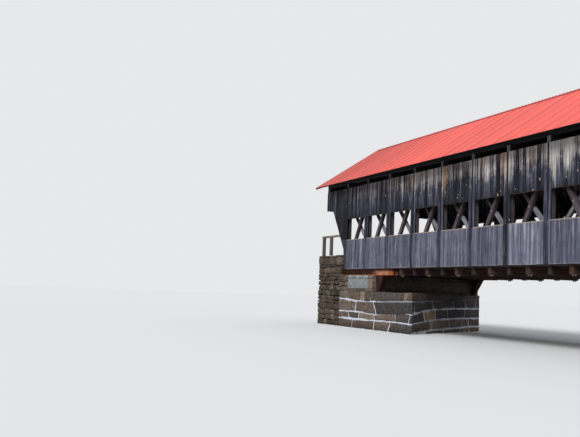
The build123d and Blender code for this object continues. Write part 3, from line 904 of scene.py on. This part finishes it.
cap_low, cap_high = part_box("ridge_cap")
cap_half = cap_high.y
cap_bead = 0.014
pan_sink, rib_lift = -0.012, 0.006
cap_marks = [(cap_low.x, pan_sink)]
for x in rib_lines[1:-1]:
    cap_marks += [(x - 0.055, pan_sink), (x - 0.022, rib_lift), (x + 0.022, rib_lift), (x + 0.055, pan_sink)]
cap_marks.append((cap_high.x, pan_sink))
cap_lines = (-cap_half, -cap_half + cap_bead, -0.02, 0.0, 0.02, cap_half - cap_bead, cap_half)
cap_points = []
for x, lift in cap_marks:
    for y in cap_lines:
        turned_down = 0.008 if abs(y) == cap_half else 0.005 if y == 0 else 0.0
        cap_points.append(Vector((x, y, roof_z(y) + 0.009 + lift - turned_down)))
cap_row = len(cap_lines)
cap_faces = [(n, n + cap_row, n + cap_row + 1, n + 1)
             for m in range(len(cap_marks) - 1) for n in range(m * cap_row, (m + 1) * cap_row - 1)]
ridge_cover = joined("ridge_cover", [(cap_points, cap_faces, {})])
thickness = ridge_cover.modifiers.new("sheet", "SOLIDIFY")
thickness.thickness = 0.002
thickness.offset = -1
cap_finish = new_finish("ridge red paint", 0.55, 0.35)
blot = mottle(cap_finish, spot_on(cap_finish)[0], 5.0, 4.0, 0.65)
coat(cap_finish, mixed(cap_finish, blot, shade(140, 38, 44), shade(214, 84, 80)), blot, 0.3, 0.006)
in_place_of("ridge_cap", ridge_cover, cap_finish)

# Nailers: rough battens spiked along the chords and the posts, that the siding boards are nailed to.
# All are bare brown softwood, and those at sill and head are deep.
eased("nailers", 0.004, timber_finish("nailer", (86, 72, 62), (168, 148, 126)))


# Siding under the windows: a second skin of vertical spruce boards, blue grey, nailed between the piers.
# The boards differ in width and tone, with open joints of a few millimetres and uneven lower ends.
def board(u0, u1, low, high, face, thick, side, dice, across=False, breaks=(), **facts):
    """One vertical board from u0 to u1 along the wall. low and high give its ends' heights there, and breaks
    are the places where an end turns. across is true for a gable, whose wall runs along Y."""
    lean, upright_at = dice.uniform(-0.0015, 0.0015), 4.0
    marks = sorted({u0, u1} | {u for u in breaks if u0 < u < u1})
    outline = [(u, low(u)) for u in marks] + [(u, high(u)) for u in reversed(marks)]
    points = []
    for inward in (0.0, -thick):
        for u, z in outline:
            out = face + inward + lean * (z - upright_at)
            points.append(Vector((side * out, u, z)) if across else Vector((u, side * out, z)))
    count = len(outline)
    faces = [tuple(range(count)), tuple(range(2 * count - 1, count - 1, -1))]
    faces += [(n, count + n, count + (n + 1) % count, (n + 1) % count) for n in range(count)]
    return points, flipped(faces) if (side > 0) != across else faces, facts


def boarded(u0, u1, low, high, face, thick, side, dice, short, long, facts, across=False, breaks=()):
    """Boards of random widths, side by side from u0 to u1. facts gives a board's numbers from its edges."""
    gap = 0.007
    made = []
    u = u0
    while u < u1 - 0.002:
        width = dice.uniform(short, long)
        if u1 - u - width < short * 0.7:
            width = u1 - u
        drop = dice.uniform(0.0, 0.010)
        own = facts(u, u + width)
        made.append(board(u + gap / 2, u + width - gap / 2, lambda v: low(v) + drop, high,
                          face - dice.uniform(0, 0.002), thick, side, dice, across, breaks, **own))
        u += width
    return made


def straight(height):
    """A board's end that lies at one height all along the wall."""
    return lambda u: height


lower_low, lower_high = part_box("siding_lower_near")
pier_low, pier_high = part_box("window_piers_near")
pier_width = 0.37
lower_thick = 0.047
lower_face = -lower_low.y - 0.001
siding_front = -pier_low.y
sill, siding_top = lower_high.z, pier_high.z
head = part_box("siding_upper_near")[0].z
lower_skins = {}
for side, name in ((-1, "near"), (1, "far")):
    dice = random.Random(40 + side)
    skin = []
    for n in range(-7, 7):
        skin += boarded(n * bay + pier_width / 2, (n + 1) * bay - pier_width / 2, straight(siding_bottom),
                        straight(sill - 0.002), lower_face, lower_thick, side, dice, 0.16, 0.34,
                        lambda u0, u1: {"tone": dice.random()})
    lower_skins[name] = joined(f"lower_boards_{name}", skin)


def bare_streaks(finish, colour, moved, streaks, reach, climb):
    """Bare wood, cream or tan, in ragged streaks that hang from the top as far as a board's reach."""
    ragged = mottle(finish, stretched(finish, moved, (38, 38, 0.7)), 1.0, 4.0, 0.65)
    past = reckoned(finish, "MULTIPLY_ADD", climb, 0.9, reach)
    past = reckoned(finish, "MULTIPLY_ADD", ragged, 3.4, past)
    wood = mixed(finish, own_number(finish, "warm"), shade(255, 250, 240), shade(224, 168, 118))
    worn_wood = dimmed(finish, wood, ranged(finish, streaks, 2.1, 3.1, 0.6, 1.0))
    return mixed(finish, ranged(finish, past, 3.0, 3.1, 0.0, 0.92), colour, worn_wood)


def flecks(finish, colour, place, x, climb, on_siding):
    """Small flakes lost from the dark surface, more of them toward the near end and the top."""
    ruffle = put(finish, "TexNoise", place, None, 16.0, 2.0, 0.5).outputs["Color"]
    sway = (0.07, 0.07, 0.07)
    ruffled = put(finish, "VectorMath", ruffle, sway, place, operation="MULTIPLY_ADD").outputs["Vector"]
    fleck = put(finish, "TexVoronoi", stretched(finish, ruffled, (11.0, 11.0, 6.0)), None, 1.0).outputs
    chance, warm, size = put(finish, "SeparateXYZ", fleck["Color"]).outputs
    near_middle = reckoned(finish, "LESS_THAN", fleck["Distance"], ranged(finish, size, 0.0, 1.0, 0.06, 0.34))
    whole = ranged(finish, x, -13.0, 4.0, 0.99, 0.88)
    whole = reckoned(finish, "MULTIPLY_ADD", climb, -0.06, whole)
    flaked = reckoned(finish, "GREATER_THAN", chance, whole)
    fleck_here = reckoned(finish, "MULTIPLY", near_middle, flaked)
    fleck_here = reckoned(finish, "MULTIPLY", fleck_here, on_siding)
    fleck_colour = mixed(finish, warm, shade(244, 228, 204), shade(206, 142, 92))
    return mixed(finish, fleck_here, colour, fleck_colour)


def board_finish(name, foot_colours, top_colours, base, top, own_tone, far_light, edges=(), old=False):
    """Weathered vertical boards. Each has its own tone, and streaks of four widths run up the grain, in four
    colours from dark to light that change from foot to top. far_light is what the far end keeps of its light,
    and edges are bands at foot or head (from, to, strength, colour). Old boards are greyer under the sill and
    show bare wood and stained heads. Their top colours are far paler, partly weathered wood and partly
    painted light against the shade of the eaves, and at the bridge's ends, under the hoods, they keep their
    foot's colours up to the eaves."""
    finish = new_finish(name, 0.88, 0.2)
    place, x, _, z = spot_on(finish)
    tone = own_number(finish, "tone")
    shift = reckoned(finish, "MULTIPLY", tone, 31.0)
    moved = put(finish, "VectorMath", place, shift, operation="ADD").outputs["Vector"]
    streaks = ranged(finish, tone, 0.0, 1.0, -own_tone, own_tone)
    for narrow, long, share in ((4.5, 0.22, 0.4), (12, 0.3, 1.3), (27, 0.6, 2.0), (75, 1.5, 1.3)):
        fibres = mottle(finish, stretched(finish, moved, (narrow, narrow, long)), 1.0, 3.0, 0.6)
        streaks = reckoned(finish, "MULTIPLY_ADD", fibres, share, streaks)
    cloud = mottle(finish, place, 3.0, 5.0, 0.65)
    streaks = reckoned(finish, "MULTIPLY_ADD", cloud, 0.5, streaks)
    if old:
        greyed_foot = ranged(finish, x, -14.0, 0.0, 0.62, 0.34)
        under_sill = reckoned(finish, "LESS_THAN", z, sill)
        streaks = reckoned(finish, "MULTIPLY_ADD", greyed_foot, under_sill, streaks)
    spread = ranged(finish, streaks, 2.15, 3.35, 0.0, 1.0)
    foot_colour, top_colour = (ramped(finish, spread, colours, (0.0, 0.36, 0.64, 1.0))
                               for colours in (foot_colours, top_colours))
    climb = ranged(finish, z, base, top, 0.0, 1.0)
    ragged_climb = reckoned(finish, "MULTIPLY_ADD", cloud, 0.6, climb)
    ragged_climb = reckoned(finish, "MULTIPLY_ADD", streaks, 0.5, ragged_climb)
    top_share = ranged(finish, ragged_climb, 2.22, 2.72, 0.0, 1.0)
    # Painted light: old boards grow paler toward the eaves, except at the ends under the hoods.
    if old:
        painted_top_light_reach = ranged(finish, reckoned(finish, "ABSOLUTE", x), 17.0, 7.5, 0.1, 1.0)
        top_share = reckoned(finish, "MULTIPLY", top_share, painted_top_light_reach)
    colour = mixed(finish, top_share, foot_colour, top_colour)
    if old:
        reach = own_number(finish, "bare")
        on_siding = reckoned(finish, "GREATER_THAN", reach, -0.1)
        colour = bare_streaks(finish, colour, moved, streaks, reach, climb)
        stained_head = ranged(finish, z, base + 0.5, base, 0.0, 0.5)
        stained_head = reckoned(finish, "MULTIPLY", stained_head, on_siding)
        colour = mixed(finish, stained_head, colour, shade(12, 12, 16))
        colour = flecks(finish, colour, place, x, climb, on_siding)
    colour = dimmed(finish, colour, ranged(finish, x, -14.0, -4.0, far_light, 1.0))
    for z0, z1, strength, edge_colour in edges:
        colour = mixed(finish, ranged(finish, z, z0, z1, 0.0, strength), colour, shade(*edge_colour))
    coat(finish, colour, streaks, 0.5, 0.006)
    return finish


bleached_foot = (siding_bottom + 0.035, siding_bottom + 0.012, 0.4, (206, 206, 214))
bleached_head = (sill - 0.04, sill - 0.02, 0.75, (214, 194, 168))
lower_finish = board_finish(
    "blue grey boards", [(50, 51, 63), (94, 96, 112), (130, 132, 151), (190, 192, 212)],
    [(52, 53, 64), (96, 97, 112), (134, 136, 153), (194, 196, 212)], siding_bottom, sill,
    own_tone=0.16, far_light=0.85, edges=(bleached_foot, bleached_head))
for name, piece in lower_skins.items():
    in_place_of(f"siding_lower_{name}", piece, lower_finish)

# Piers, upper siding and closed ends: the older skin of boards, one thickness, dark with greyed feet and
# paler under the eaves, partly weathered wood and partly painted light. Where the dark surface has flaked
# off, bare wood shows cream and tan. The bare streaks (place, reach, warmth) follow the photograph on the
# near side. In each pier a pale last board is a painted highlight on its lit edge.
bare_spots = [(-9.2, 0.75, 0.8), (-8.68, 0.45, 0.4), (-7.55, 0.3, 0.1), (-7.19, 0.5, 0.7), (-6.5, 0.9, 1.0),
              (-4.9, 0.3, 0.0), (-3.93, 0.6, 0.8), (-2.63, 0.55, 1.0), (-2.35, 0.9, 0.7), (-2.15, 0.7, 0.0),
              (-0.9, 0.4, 0.7), (-0.7, 0.5, 0.1), (0.3, 1.0, 0.1), (0.9, 1.0, 0.0), (1.08, 0.8, 0.0),
              (2.9, 0.7, 0.3), (4.4, 0.5, 0.8), (6.1, 0.9, 0.1), (8.3, 0.6, 0.6)]


def bare_spot(u0, u1, side, otherwise):
    """Reach and warmth of the bare streak between two places along a side, or else the pair given."""
    found = [(reach, warm) for spot, reach, warm in bare_spots if u0 <= spot * -side < u1]
    return found[-1] if found else otherwise


def weathered(dice, side):
    """How a board has weathered. Seen from outside, bare wood is rarer toward the right end of a side."""
    def facts(u0, u1):
        reach, warm = 0.0, dice.random()
        if dice.random() < 0.45:
            reach = dice.uniform(0.0, 0.32) * held((u0 * side + 13) / 9, 0.15, 1.0)
        reach, warm = bare_spot(u0, u1, side, (reach, warm))
        return {"tone": dice.random(), "bare": reach, "warm": warm}
    return facts


end_edge = 16.142
slant_out = 17.702
hood_end = 18.472
slant_low, slant_high = siding_bottom + 0.9, siding_top - 1.03
hair = 1e-5


def end_foot(u):
    """The lower edge of a closed end: straight, then up the slant, then level under the hood."""
    v = abs(u)
    if v > slant_out + hair / 2:
        return slant_high
    if v > end_edge + hair / 2:
        return slant_low + (v - end_edge) / (slant_out - end_edge) * (slant_high - slant_low)
    return siding_bottom


older_thick = 0.023
older_face = siding_front - 0.001
older_top = straight(siding_top - 0.001)
# The last board of each pier, with a tone of 1.25, is a painted highlight: a pale board for the pier's lit
# edge.
pier_boards = [(0.0, 0.17, siding_bottom, sill, -0.1), (0.0, 0.17, sill, siding_top, 0.75),
               (0.17, 0.27, siding_bottom, siding_top, -0.3),
               (0.27, pier_width, siding_bottom, siding_top, 1.25)]
pier_gap = 0.002
unbared = (-0.4, 0.2)
older = {}
for side, name in ((-1, "near"), (1, "far")):
    dice = random.Random(60 + side)
    facts = weathered(dice, side)
    uppers = []
    piers = []
    for n in range(-7, 7):
        uppers += boarded(n * bay + pier_width / 2, (n + 1) * bay - pier_width / 2, straight(head), older_top,
                          older_face, older_thick, side, dice, 0.13, 0.27, facts)
    for n in range(-6, 7):
        x0 = n * bay - pier_width / 2
        for a, b, foot, top, tone in pier_boards:
            a, b = (x0 + a, x0 + b) if side < 0 else (x0 + (pier_width - b), x0 + (pier_width - a))
            reach, warm = bare_spot(a, b, side, unbared)
            piers.append(board(a + pier_gap, b - pier_gap, straight(foot), straight(top - 0.002), older_face,
                               older_thick, side, dice, tone=tone, bare=reach, warm=warm))
    older[f"siding_upper_{name}"] = joined(f"upper_boards_{name}", uppers)
    older[f"window_piers_{name}"] = joined(f"pier_boards_{name}", piers)
turns = (-slant_out, -slant_out - hair, -end_edge, end_edge, slant_out, slant_out + hair)
ends = []
for side in (-1, 1):
    dice = random.Random(80 + side)
    facts = weathered(dice, side)
    for u0, u1 in ((-hood_end, -7 * bay + pier_width / 2), (7 * bay - pier_width / 2, hood_end)):
        ends += boarded(u0, u1, end_foot, older_top, older_face, older_thick, side, dice, 0.15, 0.28, facts,
                        breaks=turns)
older["end_panels"] = joined("end_boards", ends)
gable_half = siding_front - 0.025
upper_bottom = upper_low.z
opening_half, chamfer = 2.5, 0.6


def gable_foot(u):
    """The lower edge of a portal: level at the sides, chamfered up to the opening's head."""
    v = abs(u)
    if v > opening_half:
        return slant_high
    return min(upper_bottom, slant_high + (opening_half - v) / chamfer * (upper_bottom - slant_high))


def gable_head(u):
    """The upper edge of a portal, under the roof boards."""
    return roof_z(u) - 0.056


gable_turns = (-opening_half, chamfer - opening_half, 0.0, opening_half - chamfer, opening_half)
gables = []
for side in (-1, 1):
    dice = random.Random(90 + side)
    gables += boarded(-gable_half, gable_half, gable_foot, gable_head, hood_end - 0.001, older_thick, side,
                      dice, 0.18, 0.3, lambda u0, u1: {"tone": dice.random(), "bare": -0.3, "warm": 0.3},
                      across=True, breaks=gable_turns)
older["portal_gables"] = joined("portal_boards", gables)
# The pale top colours of the old boards are partly weathered wood and partly painted light.
older_finish = board_finish(
    "old dark boards", [(12, 12, 18), (34, 35, 44), (64, 66, 80), (126, 130, 148)],
    [(28, 25, 28), (98, 90, 93), (220, 205, 200), (255, 252, 250)], head, siding_top,
    own_tone=0.32, far_light=0.80, old=True)
for node, piece in older.items():
    in_place_of(node, piece, older_finish)
